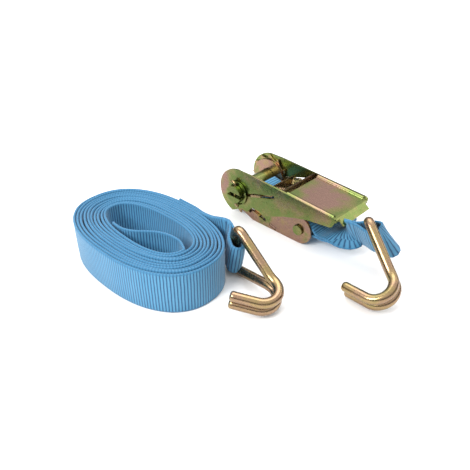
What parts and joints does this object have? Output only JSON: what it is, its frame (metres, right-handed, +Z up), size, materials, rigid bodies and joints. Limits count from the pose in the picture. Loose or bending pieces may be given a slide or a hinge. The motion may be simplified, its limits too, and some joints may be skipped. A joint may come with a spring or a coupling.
{
  "type": "ratchet tie down",
  "caption": "Ratchet buckle with pawls, slotted spindle and folding handle, a short webbing strap with a wire hook, and a coiled long webbing strap with its own hook",
  "frame": {"origin": "middle of the whole object's footprint, on the surface it lies on", "axes": "+X from the ratchet's spindle towards the grip end of its handle, +Y from the coiled strap towards the ratchet, +Z up"},
  "size_m": [0.176, 0.1432, 0.0378],
  "materials": {
    "frame_zinc": "yellow-pink iridescent zinc plating on stamped steel",
    "handle_zinc": "olive green iridescent zinc plating on stamped steel",
    "gold_zinc": "gold iridescent zinc plating",
    "spring_steel": "plated spring wire",
    "webbing": "light blue woven polyester webbing with ribs across its width"
  },
  "bodies": {
    "frame": {"frame_plate_near": "frame_zinc", "frame_plate_far": "frame_zinc", "frame_cross_plate": "frame_zinc", "frame_spring_near": "spring_steel", "frame_spring_far": "spring_steel", "anchor_bolt": "handle_zinc", "anchor_nut": "handle_zinc", "anchor_sleeve": "frame_zinc", "short_strap": "webbing", "long_strap": "webbing"},
    "handle": {"handle": "handle_zinc", "handle_spring_seat": "gold_zinc", "handle_spring_near": "spring_steel", "handle_spring_far": "spring_steel"},
    "handle_pawl": {"handle_pawl": "gold_zinc"},
    "frame_pawl": {"frame_pawl": "gold_zinc"},
    "spindle": {"ratchet_wheel_near": "gold_zinc", "ratchet_wheel_far": "gold_zinc", "spindle_half_upper": "handle_zinc", "spindle_half_lower": "handle_zinc", "spindle_washer_near": "handle_zinc", "spindle_washer_far": "handle_zinc", "cotter_pin_near": "gold_zinc", "cotter_pin_far": "gold_zinc"},
    "hook_long": {"hook_long_strap": "gold_zinc"},
    "hook_short": {"hook_short_strap": "gold_zinc"}
  },
  "joints": [
    {"name": "handle_turn", "type": "hinge", "parent": "frame", "child": "handle", "pos_m": [-0.0365, 0.0499, 0.0177], "axis": [0, -1, 0], "range_deg": [0, 180]},
    {"name": "handle_pawl_slide", "type": "slide", "parent": "handle", "child": "handle_pawl", "axis": [0.9563, 0, 0.2924], "range_m": [-0.0024, 0.003], "stiffness_N_per_m": 800, "deforming": ["handle_spring_near", "handle_spring_far"]},
    {"name": "frame_pawl_slide", "type": "slide", "parent": "frame", "child": "frame_pawl", "axis": [0.9511, 0, -0.309], "range_m": [-0.0024, 0.003], "stiffness_N_per_m": 800, "deforming": ["frame_spring_near", "frame_spring_far"]},
    {"name": "spindle_turn", "type": "hinge", "parent": "frame", "child": "spindle", "pos_m": [-0.0365, 0.0499, 0.0177], "axis": [0, -1, 0], "continuous": true},
    {"name": "long_hook_swing", "type": "hinge", "parent": "frame", "child": "hook_long", "pos_m": [0.0043, -0.0129, 0.01734], "axis": [0.2257, -0.0747, 0.9713], "range_deg": [-8, 75]},
    {"name": "short_hook_swing", "type": "hinge", "parent": "frame", "child": "hook_short", "pos_m": [0.0571, 0.0443, 0.02228], "axis": [-0.1134, -0.4814, 0.8691], "range_deg": [0, 80]}
  ]
}
